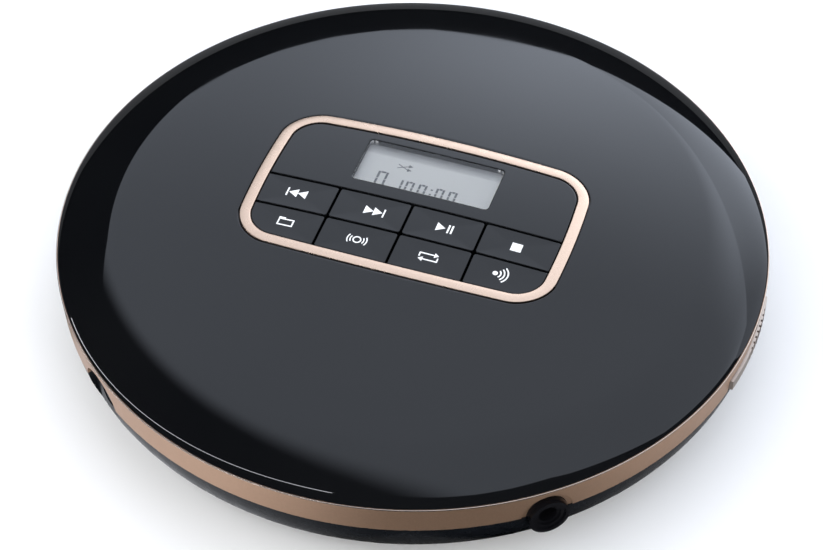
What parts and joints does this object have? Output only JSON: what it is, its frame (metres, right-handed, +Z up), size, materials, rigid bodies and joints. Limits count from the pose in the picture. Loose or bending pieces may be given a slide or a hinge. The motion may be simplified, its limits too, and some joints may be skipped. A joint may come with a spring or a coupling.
{
  "type": "portable cd player",
  "caption": "Round battery-powered disc player: glossy domed lid with keypad and display, metallic waist band, disc drive under the lid.",
  "frame": {"origin": "centre of the footprint, on the plane of the rubber feet", "axes": "+Z up through the disc spindle, -Y towards the user, +X to the user's right, lid hinge on the +Y side"},
  "size_m": [0.1396, 0.1389, 0.029],
  "materials": {
    "lid_black": "piano black, polished",
    "champagne": "champagne, satin metallic",
    "case_black": "fine textured black",
    "deck_grey": "fine matt dark grey",
    "clear_window": "clear acrylic, polished",
    "display": "liquid crystal display, grey",
    "board": "green solder mask",
    "component": "moulded black",
    "socket_black": "moulded black",
    "thumb_silver": "satin silver grey",
    "rubber": "matt",
    "steel": "plain",
    "cell_jacket": "printed sleeve, no lettering",
    "gear_white": "natural acetal",
    "turntable_black": "moulded black",
    "lens_glass": "coated lens"
  },
  "bodies": {
    "case": {"bottom_case": "case_black", "side_band": "champagne", "upper_deck": "deck_grey", "rubber_feet": "rubber", "case_screws": "steel", "main_board": "board", "board_chips": "component", "headphone_socket": "socket_black", "socket_board": "board", "power_socket": "socket_black", "battery_cell_1": "cell_jacket", "battery_cell_2": "cell_jacket", "battery_contacts": "steel", "battery_springs": "steel", "door_pins": "steel", "hinge_pins": "steel", "rocker_pin": "steel", "lid_switch": "component", "drive_chassis": "deck_grey", "chassis_dampers": "rubber", "chassis_screws": "steel", "spindle_motor": "steel", "sled_motor": "steel", "gear_post": "steel", "guide_rods": "steel"},
    "lid": {"lid_cover": "lid_black", "lid_liner": "deck_grey", "control_frame": "champagne", "display_panel": "lid_black", "display_lens": "clear_window", "lcd_module": "display", "lcd_connector": "rubber", "keypad_board": "board", "tact_switches": "component", "lid_screws": "steel"},
    "open_slide": {"open_slider": "thumb_silver"},
    "hold_slide": {"hold_slider": "thumb_silver"},
    "rocker": {"volume_rocker": "thumb_silver"},
    "door": {"battery_door": "case_black"},
    "spindle": {"turntable": "turntable_black"},
    "ball_1": {"clamp_ball_1": "steel"},
    "ball_2": {"clamp_ball_2": "steel"},
    "ball_3": {"clamp_ball_3": "steel"},
    "sled": {"pickup_sled": "turntable_black"},
    "lens": {"lens_holder": "turntable_black", "objective_lens": "lens_glass"},
    "gear": {"drive_gear": "gear_white"},
    "pinion": {"motor_pinion": "gear_white"},
    "skip_back_key": {"skip_back_button": "lid_black"},
    "skip_forward_key": {"skip_forward_button": "lid_black"},
    "play_pause_key": {"play_pause_button": "lid_black"},
    "stop_key": {"stop_button": "lid_black"},
    "folder_key": {"folder_button": "lid_black"},
    "anti_shock_key": {"anti_shock_button": "lid_black"},
    "play_mode_key": {"play_mode_button": "lid_black"},
    "bass_boost_key": {"bass_boost_button": "lid_black"}
  },
  "joints": [
    {"name": "lid_hinge", "type": "hinge", "parent": "case", "child": "lid", "pos_m": [0, 0.066, 0.021], "axis": [-1, 0, 0], "range_deg": [0, 70]},
    {"name": "battery_door_hinge", "type": "hinge", "parent": "case", "child": "door", "pos_m": [0, 0.0229, 0.002], "axis": [-1, 0, 0], "range_deg": [0, 100]},
    {"name": "open_slide", "type": "hinge", "parent": "case", "child": "open_slide", "pos_m": [0, 0, 0.0168], "axis": [0, 0, 1], "range_deg": [0, 2.5], "stiffness_Nm_per_rad": 1},
    {"name": "hold_slide", "type": "slide", "parent": "case", "child": "hold_slide", "axis": [-0.6428, -0.766, 0], "range_m": [0, 0.002]},
    {"name": "volume_rock", "type": "hinge", "parent": "case", "child": "rocker", "pos_m": [-0.0685, 0, 0.018], "axis": [0, 0, 1], "range_deg": [-2, 2], "stiffness_Nm_per_rad": 1.2},
    {"name": "disc_spin", "type": "hinge", "parent": "case", "child": "spindle", "pos_m": [0, 0, 0.0185], "axis": [0, 0, 1], "continuous": true},
    {"name": "sled_slide", "type": "slide", "parent": "case", "child": "sled", "axis": [0, -1, 0], "range_m": [0, 0.0317]},
    {"name": "gear_spin", "type": "hinge", "parent": "case", "child": "gear", "pos_m": [0.0205, -0.026, 0.007], "axis": [0, 0, 1], "continuous": true},
    {"name": "pinion_spin", "type": "hinge", "parent": "case", "child": "pinion", "pos_m": [0.03225, -0.02172, 0.006], "axis": [0, 0, 1], "continuous": true},
    {"name": "lens_focus", "type": "slide", "parent": "sled", "child": "lens", "axis": [0, 0, 1], "range_m": [-0.0004, 0.0004], "stiffness_N_per_m": 30},
    {"name": "ball_1_press", "type": "slide", "parent": "spindle", "child": "ball_1", "axis": [0, -1, 0], "range_m": [0, 0.0005], "stiffness_N_per_m": 800},
    {"name": "ball_2_press", "type": "slide", "parent": "spindle", "child": "ball_2", "axis": [0.866, 0.5, 0], "range_m": [0, 0.0005], "stiffness_N_per_m": 800},
    {"name": "ball_3_press", "type": "slide", "parent": "spindle", "child": "ball_3", "axis": [-0.866, 0.5, 0], "range_m": [0, 0.0005], "stiffness_N_per_m": 800},
    {"name": "skip_back_press", "type": "slide", "parent": "lid", "child": "skip_back_key", "axis": [0, 0, -1], "range_m": [0, 0.0005], "stiffness_N_per_m": 1500},
    {"name": "skip_forward_press", "type": "slide", "parent": "lid", "child": "skip_forward_key", "axis": [0, 0, -1], "range_m": [0, 0.0005], "stiffness_N_per_m": 1500},
    {"name": "play_pause_press", "type": "slide", "parent": "lid", "child": "play_pause_key", "axis": [0, 0, -1], "range_m": [0, 0.0005], "stiffness_N_per_m": 1500},
    {"name": "stop_press", "type": "slide", "parent": "lid", "child": "stop_key", "axis": [0, 0, -1], "range_m": [0, 0.0005], "stiffness_N_per_m": 1500},
    {"name": "folder_press", "type": "slide", "parent": "lid", "child": "folder_key", "axis": [0, 0, -1], "range_m": [0, 0.0005], "stiffness_N_per_m": 1500},
    {"name": "anti_shock_press", "type": "slide", "parent": "lid", "child": "anti_shock_key", "axis": [0, 0, -1], "range_m": [0, 0.0005], "stiffness_N_per_m": 1500},
    {"name": "play_mode_press", "type": "slide", "parent": "lid", "child": "play_mode_key", "axis": [0, 0, -1], "range_m": [0, 0.0005], "stiffness_N_per_m": 1500},
    {"name": "bass_boost_press", "type": "slide", "parent": "lid", "child": "bass_boost_key", "axis": [0, 0, -1], "range_m": [0, 0.0005], "stiffness_N_per_m": 1500}
  ],
  "couplings": [
    {"joint": "gear_spin", "follows": "sled_slide", "rad_per_m": 285.71},
    {"joint": "pinion_spin", "follows": "sled_slide", "rad_per_m": -1142.9}
  ]
}
